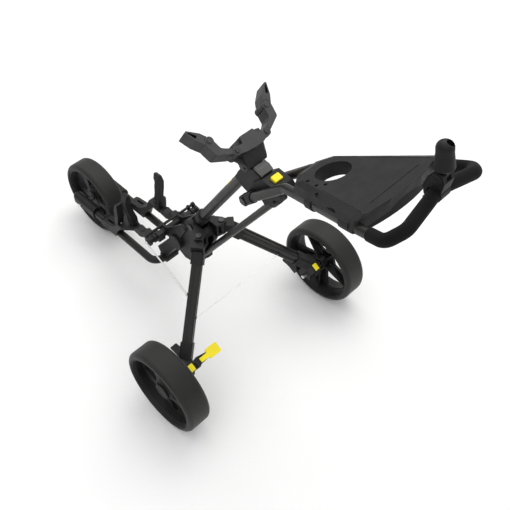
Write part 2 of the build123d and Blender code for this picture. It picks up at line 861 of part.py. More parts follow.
with BuildPart() as strut_ends:
    with BuildSketch(run(strut_pivot + strut_direction * 542, strut_seat)):
        Circle(strut_radius + 3.5)
    extrude(amount=34)
    with BuildSketch(side_plane(0)):
        with Locations((strut_seat.Y, strut_seat.Z)):
            Circle(12.5)
    extrude(amount=cheek_gap - 1.5, both=True)
    with BuildSketch(side_plane(0)):
        with Locations((strut_seat.Y, strut_seat.Z)):
            Circle(seat_radius)
    extrude(amount=29, both=True)
    with BuildSketch(run(strut_pivot + strut_direction * 500, strut_seat)):
        Circle(strut_radius)
    extrude(amount=strut_tube_end - 500, mode=Mode.SUBTRACT)
    add(strut_lower_end.part)
save(strut_ends, "strut_ends")


# ---------------------------------------------------------------- handle
handle_direction = Vector(0, 178 - 45, 852 - 724).normalized()
tube_start = 30.0
lower_bend = at(handle_tube_x, 178, 852)
side_bend = at(125, 447, 982)
corner_bend = at(137.5, 512, 1008)
grip_inner = at(106, 534.5, 1032)
grip_dip = at(27, 525.5, 1049)
grip_middle = at(0, 519, 1049)
grip_start = side_bend + (corner_bend - side_bend) * 0.42


def across(point):
    """The same point on the trolley's other side."""
    return Vector(-point.X, point.Y, point.Z)


handle_base = handle_pivot + Vector(handle_tube_x, 0, 0) + handle_direction * tube_start
grip_corners = [corner_bend, grip_inner, grip_dip, grip_middle, across(grip_dip), across(grip_inner), across(corner_bend)]
grip_bends = [26, 30, 40, 60, 40, 30, 26]

with BuildPart() as handle_tube:
    with BuildLine():
        FilletPolyline(
            handle_base,
            lower_bend,
            side_bend,
            *grip_corners,
            across(side_bend),
            across(lower_bend),
            across(handle_base),
            radius=[38, 30, *grip_bends, 30, 38],
        )
    with BuildSketch(run(handle_base, lower_bend)):
        Circle(handle_radius)
        Circle(handle_radius - tube_wall, mode=Mode.SUBTRACT)
    sweep()
save(handle_tube, "handle_tube")

with BuildPart() as handle_core:
    with BuildLine():
        FilletPolyline(handle_base, lower_bend, side_bend, corner_bend, radius=[38, 30])
    with BuildSketch(run(handle_base, lower_bend)):
        Circle(handle_radius)
    sweep()

with BuildPart() as grip_core:
    with BuildLine():
        FilletPolyline(grip_start, *grip_corners, across(grip_start), radius=grip_bends)
    with BuildSketch(run(grip_start, corner_bend)):
        Circle(grip_radius)
    sweep()

with BuildPart() as grip_foam:
    with BuildLine():
        FilletPolyline(grip_start, *grip_corners, across(grip_start), radius=grip_bends)
    with BuildSketch(run(grip_start, corner_bend)):
        Circle(grip_radius)
        Circle(handle_radius, mode=Mode.SUBTRACT)
    sweep()
save(grip_foam, "grip_foam")

with BuildPart() as handle_lug:
    with BuildSketch(side_plane(handle_tube_x)):
        with Locations((handle_pivot.Y, handle_pivot.Z)):
            Circle(15)
        with BuildLine():
            tip = handle_pivot + handle_direction * (tube_start + 4)
            Polyline(
                (handle_pivot.Y - 9, handle_pivot.Z + 9.5),
                (tip.Y - 9, tip.Z + 9.5),
                (tip.Y + 9, tip.Z - 9.5),
                (handle_pivot.Y + 9, handle_pivot.Z - 9.5),
                close=True,
            )
        make_face()
    extrude(amount=lug_half, both=True)
    with BuildSketch(run(handle_base, lower_bend)):
        Circle(handle_radius + 2.5)
    extrude(amount=10, both=True)
    with BuildSketch(run(handle_base, lower_bend)):
        Circle(handle_radius)
    extrude(amount=30, mode=Mode.SUBTRACT)
    with BuildSketch(side_plane(handle_tube_x)):
        with Locations((handle_pivot.Y, handle_pivot.Z)):
            Circle(handle_pin_radius + pin_gap)
    extrude(amount=30, both=True, mode=Mode.SUBTRACT)
save_both(handle_lug, "handle_lugs")


# ---------------------------------------------------------------- console
console_slope = 23.3
console_origin = at(0, 432, 979)
console_normal = Vector(0, -sin(radians(console_slope)), cos(radians(console_slope)))
tray_rise = 24.0
tray_wall = 3.0
cup_radius = 41.0
cup_place = (0, -163)
cup_depth = 34.0
tee_radius = 4.5
tee_places = ((52, -190), (60, -156), (50, -139), (82, -136))
slot_place = (0, 6)
slot_length = 152.0
groove_depth = 1.5


def console_level(rise):
    """Plane of the console, raised: local x is +X, local y runs rearwards up the slope."""
    return Plane(origin=console_origin + console_normal * rise, x_dir=(1, 0, 0), z_dir=console_normal)


def tray_outline(nose, shoulder, corner, crown, inset):
    """Closed outline of the tray, given its left half from the nose to the middle of the rear edge."""
    left = [
        (nose[0] - inset, nose[1] + inset),
        (shoulder[0] - inset, shoulder[1] + inset),
        (corner[0] - inset, corner[1] - inset),
        (crown[0], crown[1] - inset),
    ]
    return left + [(-x, y) for x, y in reversed(left)]


def tray_layer(level, nose, shoulder, corner, crown, inset, corner_radius):
    """One horizontal outline of the tray, as a sketch at a level of the console."""
    with BuildSketch(level) as layer:
        with BuildLine():
            Polyline(*tray_outline(nose, shoulder, corner, crown, inset), close=True)
        make_face()
        fillet(layer.vertices(), corner_radius)
    return layer.sketch


skirt_level = console_level(-7).rotated((2.5, 0, 0))
tray_layers = (
    (skirt_level, (34, -262), (70, -240), (141, 12), (50, 24)),
    (console_level(17), (30, -246), (62, -222), (130, 16), (50, 32)),
    (console_level(tray_rise), (24, -226), (54, -204), (112, 22), (45, 34)),
)
tray_outside = [tray_layer(*layer, 0, 8) for layer in tray_layers]
tray_inside = [tray_layer(*layer, tray_wall, 6).moved(Location(console_normal * -tray_wall)) for layer in tray_layers]

with BuildPart() as tray_body:
    loft(tray_outside, ruled=True)
    loft(tray_inside, ruled=True, mode=Mode.SUBTRACT)
    with BuildSketch(console_level(-18)):
        with BuildLine():
            Polyline((112, 8), (-112, 8))
            ThreePointArc((-112, 8), (0, 27), (112, 8))
        make_face()
    extrude(amount=tray_rise + 12)
    with BuildSketch(console_level(tray_rise - cup_depth)):
        with Locations(cup_place):
            Circle(cup_radius + tray_wall)
    extrude(amount=cup_depth - 0.5)
    with BuildSketch(console_level(-40)):
        with Locations(cup_place):
            Circle(cup_radius)
    extrude(amount=100, mode=Mode.SUBTRACT)
    with BuildSketch(console_level(tray_rise - 14)):
        with Locations(*tee_places):
            Circle(tee_radius)
    extrude(amount=40, mode=Mode.SUBTRACT)
    with BuildSketch(console_level(tray_rise - groove_depth)):
        with Locations(slot_place):
            SlotOverall(slot_length, 4)
    extrude(amount=10, mode=Mode.SUBTRACT)
    for side in (1, -1):
        with BuildSketch(console_level(8)):
            with Locations((side * 116, -88)):
                Ellipse(14, 31)
        extrude(amount=40, mode=Mode.SUBTRACT)
        with BuildSketch(console_level(-30)):
            with Locations((side * 112, -94)):
                Rectangle(80, 96)
        extrude(amount=32, mode=Mode.SUBTRACT)
    add(handle_core.part, mode=Mode.SUBTRACT)
    mirror(handle_core.part, about=Plane.YZ, mode=Mode.SUBTRACT)

with BuildPart() as console_tray:
    add(tray_body.solids().sort_by(SortBy.VOLUME)[-1])
save(console_tray, "console_tray")

# clips that hug the handle tubes under the tray
with BuildPart() as console_clip:
    side_run = (side_bend - lower_bend).normalized()
    for distance, width in ((112, 26), (250, 36)):
        centre = lower_bend + side_run * distance
        with BuildSketch(run(centre, side_bend)):
            Circle(handle_radius + 3)
            Circle(handle_radius, mode=Mode.SUBTRACT)
        extrude(amount=width)
    add(console_tray.part, mode=Mode.SUBTRACT)
save_both(console_clip, "console_clips")


# ---------------------------------------------------------------- umbrella holder
holder_half = 15.0
socket_pivot = at(0, 522, 1088)
socket_base = at(0, 526, 1096)
socket_top = at(0, 514, 1164)
socket_radius = 20.5
dome_radius = 17.3
dome_start = 44.0
boss_radius = 10.0
shaft_bore = 8.0
tongue_half = 7.0

with BuildPart() as umbrella_clamp:
    with BuildSketch(side_plane(0)) as clamp_side:
        with Locations((grip_middle.Y, grip_middle.Z)):
            Circle(grip_radius + 6)
        with BuildLine():
            Polyline(*side_points((494, 1052), (502, 1084), (512, 1100), (532, 1100), (540, 1084), (534, 1040)), close=True)
        make_face()
        with BuildLine():
            Polyline(*side_points((500, 1030), (506, 1014), (514, 1013), (522, 1030)), close=True)
        make_face()
    extrude(amount=holder_half, both=True)
    fillet(umbrella_clamp.edges().filter_by(Axis.X).group_by(Axis.Z)[-1], 5)
    with BuildSketch(side_plane(0)):
        with Locations((grip_middle.Y, grip_middle.Z)):
            Circle(grip_radius)
    extrude(amount=30, both=True, mode=Mode.SUBTRACT)
    add(grip_core.part, mode=Mode.SUBTRACT)
    with BuildSketch(side_plane(0)):
        with Locations((socket_pivot.Y, socket_pivot.Z)):
            Circle(13)
        with BuildLine():
            Polyline(*side_points((480, 1088), (480, 1120), (560, 1120), (560, 1088), (534.5, 1084), (510, 1084)), close=True)
        make_face()
    extrude(amount=tongue_half + running_gap, both=True, mode=Mode.SUBTRACT)
    with BuildSketch(side_plane(0)):
        with Locations((socket_pivot.Y, socket_pivot.Z)):
            Circle(4)
    extrude(amount=holder_half + 2, both=True)
    for side in (1, -1):
        with BuildSketch(side_plane(side * (tongue_half + running_gap))):
            with Locations((socket_pivot.Y, socket_pivot.Z)):
                Circle(boss_radius)
                Circle(4, mode=Mode.SUBTRACT)
        extrude(amount=side * (holder_half + 3 - tongue_half))
save(umbrella_clamp, "umbrella_clamp")

with BuildPart() as umbrella_socket:
    socket_axis = (socket_top - socket_base).normalized()
    with BuildSketch(run(socket_base + socket_axis * 10, socket_top)):
        Circle(socket_radius)
    with BuildSketch(run(socket_base + socket_axis * dome_start, socket_top)):
        Circle(dome_radius)
    loft()
    with BuildSketch(run(socket_base + socket_axis * dome_start, socket_top)):
        Circle(dome_radius)
    extrude(amount=(socket_top - socket_base).length - dome_start)
    fillet(umbrella_socket.faces().sort_by(Axis.Z)[-1].edges(), dome_radius - 3)
    fillet(umbrella_socket.faces().sort_by(Axis.Z)[0].edges(), 4)
    with BuildSketch(side_plane(0)):
        with Locations((socket_pivot.Y, socket_pivot.Z)):
            Circle(12)
        with BuildLine():
            Polyline(*side_points((510, 1090), (512, 1108), (536, 1112), (534, 1090)), close=True)
        make_face()
    extrude(amount=tongue_half, both=True)
    bore_start = socket_base + socket_axis * 22
    with BuildSketch(run(bore_start, socket_top + Vector(-4, 9, 0))):
        Circle(shaft_bore)
    extrude(amount=90, mode=Mode.SUBTRACT)
    with BuildSketch(side_plane(0)):
        with Locations((socket_pivot.Y, socket_pivot.Z)):
            Circle(4 + pin_gap)
    extrude(amount=30, both=True, mode=Mode.SUBTRACT)
save(umbrella_socket, "umbrella_socket")


# ---------------------------------------------------------------- lower bag cradle
prong_x = 54.0
prong_place = at(prong_x, -483, 252)
plate_top = 252.0
plate_thickness = 12.0
prong_bolt_radius = 4.0

with BuildPart() as cradle_bracket:
    with BuildSketch(side_plane(fork_x)) as bracket_side:
        with BuildLine():
            Polyline(
                *side_points(
                    (-655, 138),
                    (-655, 160),
                    (-640, 168),
                    (-590, 176),
                    (-545, 214),
                    (-528, plate_top),
                    (-500, plate_top),
                    (-505, 238),
                    (-520, 220),
                    (-560, 172),
                    (-575, 138),
                ),
                close=True,
            )
        make_face()
        fillet(bracket_side.vertices().sort_by_distance((rear_axle_y - 590, 176))[0], 12)
    extrude(amount=18, both=True)
    with BuildSketch(Plane.XY.offset(plate_top - plate_thickness)) as plate_outline:
        with BuildLine():
            Polyline(
                (42, rear_axle_y - 530),
                (96, rear_axle_y - 530),
                (96, rear_axle_y - 500),
                (68, rear_axle_y - 466),
                (40, rear_axle_y - 466),
                close=True,
            )
        make_face()
        fillet(plate_outline.vertices(), 7)
    extrude(amount=plate_thickness)
    with BuildSketch(side_plane(83)):
        with BuildLine():
            Polyline(*side_points((-530, 240), (-518, 240), (-504, 300), (-502, 344), (-510, 346), (-520, 312)), close=True)
        make_face()
    extrude(amount=12, both=True)
    fillet(cradle_bracket.edges().filter_by(Axis.X).group_by(Axis.Z)[-1], 2)
    with BuildSketch(run(fork_front, fork_corner)):
        Circle(fork_radius)
    extrude(amount=(fork_corner - fork_front).length - fork_bend, mode=Mode.SUBTRACT)
    with BuildSketch(Plane.XY.offset(160)):
        with Locations((fork_x + 4, rear_axle_y - 612)):
            SlotOverall(34, 7, rotation=90)
    extrude(amount=20, mode=Mode.SUBTRACT)
    with BuildSketch(Plane.XY.offset(plate_top - 20)):
        with Locations((prong_place.X, prong_place.Y)):
            Circle(prong_bolt_radius)
    extrude(amount=40, mode=Mode.SUBTRACT)
save_both(cradle_bracket, "cradle_brackets")

prong_base = 14.0
prong_depth = 22.0
with BuildPart() as cradle_prong:
    with BuildSketch(Plane.XY.offset(plate_top + running_gap)):
        with Locations((prong_place.X, prong_place.Y)):
            Circle(14)
    extrude(amount=prong_base)
    with BuildSketch(Plane.XZ.offset(prong_depth / 2 - prong_place.Y)) as prong_front:
        with BuildLine():
            Polyline(
                (43, plate_top + 1),
                (44, 284),
                (52, 316),
                (58, 345),
                (55, 372),
                (60, 392),
                (72, 386),
                (79, 358),
                (75, 328),
                (68, 296),
                (66, plate_top + 1),
                close=True,
            )
        make_face()
        fillet(prong_front.vertices().group_by(Axis.Y)[-1], 3)
    extrude(amount=-prong_depth)
    with BuildSketch(Plane.XY.offset(plate_top + running_gap - 0.1)):
        with Locations((prong_place.X, prong_place.Y)):
            Rectangle(80, 80)
            Circle(14, mode=Mode.SUBTRACT)
    extrude(amount=6, mode=Mode.SUBTRACT)
    with BuildSketch(Plane.XY.offset(plate_top)):
        with Locations((prong_place.X, prong_place.Y)):
            Circle(prong_bolt_radius + pin_gap)
    extrude(amount=10, mode=Mode.SUBTRACT)
    with BuildSketch(Plane.XY.offset(plate_top + 10)):
        with Locations((prong_place.X, prong_place.Y)):
            Circle(7.5)
    extrude(amount=10, mode=Mode.SUBTRACT)
    with BuildSketch(Plane.XZ.offset(prong_depth / 2 - prong_place.Y)):
        with Locations((68, 352)):
            SlotOverall(34, 5, rotation=98)
    extrude(amount=-3, mode=Mode.SUBTRACT)
save_pair(cradle_prong, "cradle_prong")

with BuildPart() as prong_bolts:
    for side in (1, -1):
        with BuildSketch(Plane.XY.offset(plate_top - plate_thickness)):
            with Locations((side * prong_place.X, prong_place.Y)):
                Circle(prong_bolt_radius)
        extrude(amount=plate_thickness + 10.4)
        with BuildSketch(Plane.XY.offset(plate_top - plate_thickness - 3)):
            with Locations((side * prong_place.X, prong_place.Y)):
                Circle(7)
        extrude(amount=3)
        with BuildSketch(Plane.XY.offset(plate_top + 10.4)):
            with Locations((side * prong_place.X, prong_place.Y)):
                Circle(6.5)
        extrude(amount=3)
save(prong_bolts, "prong_bolts")

with BuildPart() as cradle_bar:
    with BuildSketch(side_plane(prong_x + 1)) as bar_side:
        with BuildLine():
            Polyline(
                *side_points(
                    (-468, plate_top),
                    (-450, 262),
                    (-432, 258),
                    (-412, 276),
                    (-394, 274),
                    (-372, 296),
                    (-358, 304),
                    (-346, 322),
                    (-332, 318),
                    (-330, 290),
                    (-360, 280),
                    (-392, 250),
                    (-410, 248),
                    (-440, 232),
                    (-468, 236),
                ),
                close=True,
            )
        make_face()
    extrude(amount=12, both=True)
    with BuildSketch(side_plane(0)):
        with Locations((crossbar_centre.Y, crossbar_centre.Z)):
            Circle(crossbar_radius)
        with Locations((stay_rod_centre.Y, stay_rod_centre.Z)):
            Circle(4.5)
    extrude(amount=90, both=True, mode=Mode.SUBTRACT)
    add(cradle_bracket.part, mode=Mode.SUBTRACT)
save_both(cradle_bar, "cradle_bars")


# ---------------------------------------------------------------- rear legs
leg_top = at(52, -150, 409)
leg_bottom = at(258, -7, 185)
leg_length = (leg_bottom - leg_top).length
leg_direction = (leg_bottom - leg_top).normalized()
leg_rear = Vector(0, 0, 1).cross(leg_direction).normalized()
leg_start = 21.0
sleeve_wall = 3.5
groove_width = 9.0
groove_depth = 2.2


def leg_plane(along):
    """Plane square to the left leg: local x points to the leg's rear side."""
    return Plane(origin=leg_top + leg_direction * along, x_dir=leg_rear, z_dir=leg_direction)


with BuildPart() as leg_profile:
    with BuildSketch(leg_plane(leg_start)):
        RectangleRounded(leg_width, leg_depth, 5)
        with Locations((0, leg_depth / 2), (0, -leg_depth / 2)):
            Rectangle(groove_width, 2 * groove_depth, mode=Mode.SUBTRACT)
        with Locations((leg_width / 2, 0), (-leg_width / 2, 0)):
            Rectangle(2 * groove_depth, groove_width, mode=Mode.SUBTRACT)
        RectangleRounded(leg_width - 10, leg_depth - 10, 2, mode=Mode.SUBTRACT)
    extrude(amount=leg_length - leg_start)
save_pair(leg_profile, "leg_profile")

with BuildPart() as leg_knuckle:
    with BuildSketch(leg_plane(24)):
        RectangleRounded(leg_width + 2 * sleeve_wall, leg_depth + 2 * sleeve_wall, 7)
    extrude(amount=34)
    with BuildSketch(Plane.XY.offset(leg_pivot.Z - knuckle_half_height + 1)):
        with BuildLine():
            Polyline(
                (leg_pivot.X - 4, leg_pivot.Y + 10),
                (leg_pivot.X + 7, leg_pivot.Y + 28),
                (leg_pivot.X + 18, leg_pivot.Y + 38),
                (leg_pivot.X + 41, leg_pivot.Y + 8),
                (leg_pivot.X + 28, leg_pivot.Y - 3),
                (leg_pivot.X + 8, leg_pivot.Y - 9),
                close=True,
            )
        make_face()
    extrude(amount=2 * knuckle_half_height - 2)
    with BuildSketch(leg_plane(leg_start)):
        RectangleRounded(leg_width, leg_depth, 5)
    extrude(amount=60, mode=Mode.SUBTRACT)
    with BuildSketch(Plane.XY.offset(leg_pivot.Z - knuckle_half_height)):
        with Locations((leg_pivot.X, leg_pivot.Y)):
            Circle(knuckle_radius)
    extrude(amount=2 * knuckle_half_height)
    with BuildSketch(Plane.XY.offset(leg_pivot.Z - 30)):
        with Locations((leg_pivot.X, leg_pivot.Y)):
            Circle(pivot_pin_radius - 1 + pin_gap)
    extrude(amount=60, mode=Mode.SUBTRACT)
save_pair(leg_knuckle, "leg_knuckle")

housing_inner = 248.0
housing_outer = 290.0
axle_inner = 232.0
boss_radius = 18.0
brake_pin_radius = 2.8
tab_centre = at(263, 24, 184)
tab_normal = Vector(0, sin(radians(31)), cos(radians(31)))
tab_plane = Plane(origin=tab_centre, x_dir=(1, 0, 0), z_dir=tab_normal)

with BuildPart() as axle_housing:
    with BuildSketch(leg_plane(leg_length - 52)):
        RectangleRounded(leg_width + 2 * sleeve_wall, leg_depth + 2 * sleeve_wall, 7)
    extrude(amount=58)
    with BuildSketch(side_plane(housing_inner)):
        with BuildLine():
            Polyline(
                *side_points((-26, 120), (-38, 150), (-34, 186), (-18, 204), (12, 198), (36, 182), (30, 166), (18, 150), (16, 124)),
                close=True,
            )
        make_face()
        with Locations((rear_centre.Y, rear_centre.Z)):
            Circle(boss_radius)
    extrude(amount=30)
    with BuildSketch(side_plane(housing_inner)):
        with Locations((rear_centre.Y, rear_centre.Z)):
            Circle(boss_radius)
    extrude(amount=housing_outer - housing_inner)
    with BuildSketch(side_plane(230)) as stay_side:
        with BuildLine():
            Polyline(
                *side_points((-92, 152), (-84, 163), (-62, 166), (-34, 186), (-24, 150), (-34, 132), (-60, 146)),
                close=True,
            )
        make_face()
        fillet(stay_side.vertices().sort_by(Axis.X)[0], 5)
        with Locations((rear_axle_y - 80, 157)):
            Circle(2.5, mode=Mode.SUBTRACT)
    extrude(amount=20)
    with BuildSketch(leg_plane(leg_length - 60)):
        RectangleRounded(leg_width, leg_depth, 5)
    extrude(amount=60, mode=Mode.SUBTRACT)
    with BuildSketch(side_plane(200)):
        with Locations((rear_centre.Y, rear_centre.Z)):
            Circle(axle_radius)
    extrude(amount=120, mode=Mode.SUBTRACT)
    with BuildSketch(side_plane(housing_outer - 22)):
        with Locations((rear_centre.Y, rear_centre.Z - pin_circle)):
            Circle(brake_pin_radius + pin_gap)
    extrude(amount=40, mode=Mode.SUBTRACT)
    with BuildSketch(tab_plane.offset(-7)):
        Rectangle(16.8, 22.8)
    extrude(amount=30, mode=Mode.SUBTRACT)
save_pair(axle_housing, "axle_housing")

with BuildPart() as rear_axle:
    with BuildSketch(side_plane(axle_inner)):
        with Locations((rear_centre.Y, rear_centre.Z)):
            Circle(axle_radius)
    extrude(amount=rear_centre.X + 22 - axle_inner)
    with BuildSketch(side_plane(housing_outer)):
        with Locations((rear_centre.Y, rear_centre.Z)):
            Circle(10)
            Circle(axle_radius, mode=Mode.SUBTRACT)
    extrude(amount=rear_centre.X - 24 - running_gap - housing_outer)
save_pair(rear_axle, "rear_axle")

with BuildPart() as release_tab:
    with BuildSketch(tab_plane.offset(-4)):
        Rectangle(16, 22)
    extrude(amount=9)
    fillet(release_tab.faces().sort_by(Axis.Z)[-1].edges(), 1.5)
save_pair(release_tab, "release_tab")

with BuildPart() as brake_pin:
    with BuildSketch(side_plane(housing_outer - 20)):
        with Locations((rear_centre.Y, rear_centre.Z - pin_circle)):
            Circle(brake_pin_radius)
    extrude(amount=38)
save_pair(brake_pin, "brake_pin")

pedal_centre = at(183, 28, 193)
pedal_plane = Plane(origin=pedal_centre, x_dir=(1, 0, 0), z_dir=tab_normal)
pedal_inner = 236.0
pedal_thickness = 7.0

with BuildPart() as pedal_arm:
    with BuildSketch(pedal_plane.offset(-pedal_thickness)):
        with BuildLine():
            Polyline((64, 12), (64, -12), (52, -15), (42, -13), (22, -9), (-8, -9), (-8, 9), (24, 9), close=True)
        make_face()
    extrude(amount=pedal_thickness)
    with BuildSketch(side_plane(pedal_inner)):
        with BuildLine():
            Polyline(*side_points((-8, 140), (17, 166), (19, 197), (38, 185), (32, 168), (12, 140)), close=True)
        make_face()
        with Locations((rear_centre.Y, rear_centre.Z)):
            Circle(14)
    extrude(amount=housing_inner - running_gap - pedal_inner)
    with BuildSketch(side_plane(220)):
        with Locations((rear_centre.Y, rear_centre.Z)):
            Circle(axle_radius + pin_gap)
    extrude(amount=40, mode=Mode.SUBTRACT)
save(pedal_arm, "pedal_arm")

with BuildPart() as pedal_pad:
    with BuildSketch(pedal_plane):
        RectangleRounded(42, 32, 5)
        with Locations((34, 1)):
            Rectangle(30, 14)
    extrude(amount=5)
    rib_spacing = 6.4
    for index in range(-2, 3):
        with BuildSketch(pedal_plane.offset(5)):
            with Locations((0, index * rib_spacing)):
                Rectangle(36, 2.4)
        extrude(amount=1.4)
save(pedal_pad, "pedal_pad")

# ---------------------------------------------------------------- stays and brake cable
stay_radius = 2.6
stay_along = 146.0
stay_front = at(105.3, -345, 306)
stay_rear = leg_top + leg_direction * stay_along - leg_rear * (leg_width / 2 + 5.3)

with BuildPart() as tie_rod:
    with BuildSketch(run(stay_front, stay_rear)):
        Circle(stay_radius)
    extrude(amount=(stay_rear - stay_front).length)
    with Locations(stay_front, stay_rear):
        Sphere(5)
save_pair(tie_rod, "tie_rod")

cable_radius = 2.0
cable_left = leg_top + leg_direction * 186 + leg_rear * (leg_width / 2 + 2.3)
cable_right = leg_top + leg_direction * 196 + leg_rear * (leg_width / 2 + 2.3)
cable_right = Vector(-cable_right.X, cable_right.Y, cable_right.Z)

with BuildPart() as brake_cable:
    with BuildLine() as cable_path:
        FilletPolyline(cable_left, at(90, -42, 262), at(-90, -40, 258), cable_right, radius=60)
    with BuildSketch(run(cable_left, at(90, -42, 262))):
        Circle(cable_radius)
    sweep()
save(brake_cable, "brake_cable")
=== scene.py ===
import json
import math

import bpy
from mathutils import Matrix, Vector


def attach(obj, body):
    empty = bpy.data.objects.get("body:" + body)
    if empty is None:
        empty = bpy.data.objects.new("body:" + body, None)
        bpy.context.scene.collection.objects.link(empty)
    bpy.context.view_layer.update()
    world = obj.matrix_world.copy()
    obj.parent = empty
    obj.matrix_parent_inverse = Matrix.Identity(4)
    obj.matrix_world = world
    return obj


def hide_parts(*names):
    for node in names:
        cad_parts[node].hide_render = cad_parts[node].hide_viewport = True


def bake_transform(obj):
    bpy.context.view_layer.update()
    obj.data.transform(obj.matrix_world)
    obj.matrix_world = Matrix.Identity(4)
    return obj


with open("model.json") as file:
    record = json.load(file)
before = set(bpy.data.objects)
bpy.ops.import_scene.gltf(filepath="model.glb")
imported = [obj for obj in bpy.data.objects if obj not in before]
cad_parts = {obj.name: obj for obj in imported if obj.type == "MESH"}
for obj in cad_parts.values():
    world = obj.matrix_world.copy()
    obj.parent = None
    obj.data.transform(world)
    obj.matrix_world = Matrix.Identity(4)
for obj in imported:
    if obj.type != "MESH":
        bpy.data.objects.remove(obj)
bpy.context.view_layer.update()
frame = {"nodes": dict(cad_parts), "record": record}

nodes = frame["nodes"]
scene = bpy.context.scene
SIDES = ((1, "left"), (-1, "right"))
REAR_AXLE_Y = 0.186
SKY_AT_HORIZON = 0.02
SKY_OVERHEAD = 1.50
BACKDROP = 0.92


def at(x, behind, up):
    """A place given from the ground under the rear axle, in millimetres."""
    return Vector((x / 1000, behind / 1000 + REAR_AXLE_Y, up / 1000))


# ------------------------------------------------------------ materials
class Finish:
    """Builds one procedural finish with its nodes."""

    def __init__(self, name):
        self.material = bpy.data.materials.new(name)
        self.material.use_nodes = True
        self.tree = self.material.node_tree
        self.shader = self.tree.nodes["Principled BSDF"]
        self.place = self.tree.nodes.new("ShaderNodeTexCoord").outputs["Object"]
        self.bumps = None

    def node(self, kind, **values):
        made = self.tree.nodes.new(kind)
        for key, value in values.items():
            setattr(made, key, value)
        return made

    def link(self, source, target):
        self.tree.links.new(source, target)

    def noise(self, scale, detail=4.0, rough=0.5, stretch=None, distortion=0.0):
        texture = self.node("ShaderNodeTexNoise")
        texture.inputs["Scale"].default_value = scale
        texture.inputs["Detail"].default_value = detail
        texture.inputs["Roughness"].default_value = rough
        texture.inputs["Distortion"].default_value = distortion
        source = self.place
        if stretch:
            mapping = self.node("ShaderNodeMapping")
            mapping.inputs["Scale"].default_value = stretch
            self.link(self.place, mapping.inputs["Vector"])
            source = mapping.outputs["Vector"]
        self.link(source, texture.inputs["Vector"])
        return texture.outputs["Fac"]

    def cells(self, scale, feature="F1"):
        texture = self.node("ShaderNodeTexVoronoi", feature=feature)
        texture.inputs["Scale"].default_value = scale
        self.link(self.place, texture.inputs["Vector"])
        return texture.outputs["Distance"]

    def spread(self, value, low, high, to_low, to_high):
        ranged = self.node("ShaderNodeMapRange")
        ranged.inputs["From Min"].default_value = low
        ranged.inputs["From Max"].default_value = high
        ranged.inputs["To Min"].default_value = to_low
        ranged.inputs["To Max"].default_value = to_high
        self.link(value, ranged.inputs["Value"])
        return ranged.outputs["Result"]

    def blend(self, factor, first, second, kind="MIX"):
        mix = self.node("ShaderNodeMix", data_type="RGBA", blend_type=kind)
        for socket, value in ((mix.inputs[0], factor), (mix.inputs[6], first), (mix.inputs[7], second)):
            if isinstance(value, bpy.types.NodeSocket):
                self.link(value, socket)
            elif isinstance(value, (int, float)):
                socket.default_value = value
            else:
                socket.default_value = (*value, 1.0)
        return mix.outputs[2]

    def combine(self, first, second, operation="MULTIPLY"):
        maths = self.node("ShaderNodeMath", operation=operation)
        maths.use_clamp = True
        for socket, value in ((maths.inputs[0], first), (maths.inputs[1], second)):
            if isinstance(value, bpy.types.NodeSocket):
                self.link(value, socket)
            else:
                socket.default_value = value
        return maths.outputs[0]

    def edges(self, radius=0.0022, low=0.01, high=0.35):
        """How much a place lies on a convex edge, from 0 to 1."""
        bevel = self.node("ShaderNodeBevel", samples=6)
        bevel.inputs["Radius"].default_value = radius
        geometry = self.node("ShaderNodeNewGeometry")
        turn = self.node("ShaderNodeVectorMath", operation="DOT_PRODUCT")
        self.link(bevel.outputs["Normal"], turn.inputs[0])
        self.link(geometry.outputs["Normal"], turn.inputs[1])
        inverse = self.node("ShaderNodeMath", operation="SUBTRACT")
        inverse.inputs[0].default_value = 1.0
        self.link(turn.outputs["Value"], inverse.inputs[1])
        return self.spread(inverse.outputs[0], low, high, 0.0, 1.0)

    def upward(self, low=0.35, high=0.9):
        """How much a place faces up, from 0 to 1; the mask for the painted top light on upward faces."""
        geometry = self.node("ShaderNodeNewGeometry")
        split = self.node("ShaderNodeSeparateXYZ")
        self.link(geometry.outputs["Normal"], split.inputs[0])
        return self.spread(split.outputs["Z"], low, high, 0.0, 1.0)

    def bump(self, height, strength, distance, rounded=0.0):
        bumped = self.node("ShaderNodeBump")
        bumped.inputs["Strength"].default_value = strength
        bumped.inputs["Distance"].default_value = distance
        self.link(height, bumped.inputs["Height"])
        if self.bumps is not None:
            self.link(self.bumps, bumped.inputs["Normal"])
        elif rounded:
            bevel = self.node("ShaderNodeBevel", samples=6)
            bevel.inputs["Radius"].default_value = rounded
            self.link(bevel.outputs["Normal"], bumped.inputs["Normal"])
        self.bumps = bumped.outputs["Normal"]

    def finish(self, colour, roughness, metallic=0.0, specular=0.5, **others):
        self.link(colour, self.shader.inputs["Base Color"])
        self.link(roughness, self.shader.inputs["Roughness"])
        self.shader.inputs["Metallic"].default_value = metallic
        self.shader.inputs["Specular IOR Level"].default_value = specular
        for key, value in others.items():
            self.shader.inputs[key.replace("_", " ")].default_value = value
        if self.bumps is not None:
            self.link(self.bumps, self.shader.inputs["Normal"])
        return self.material


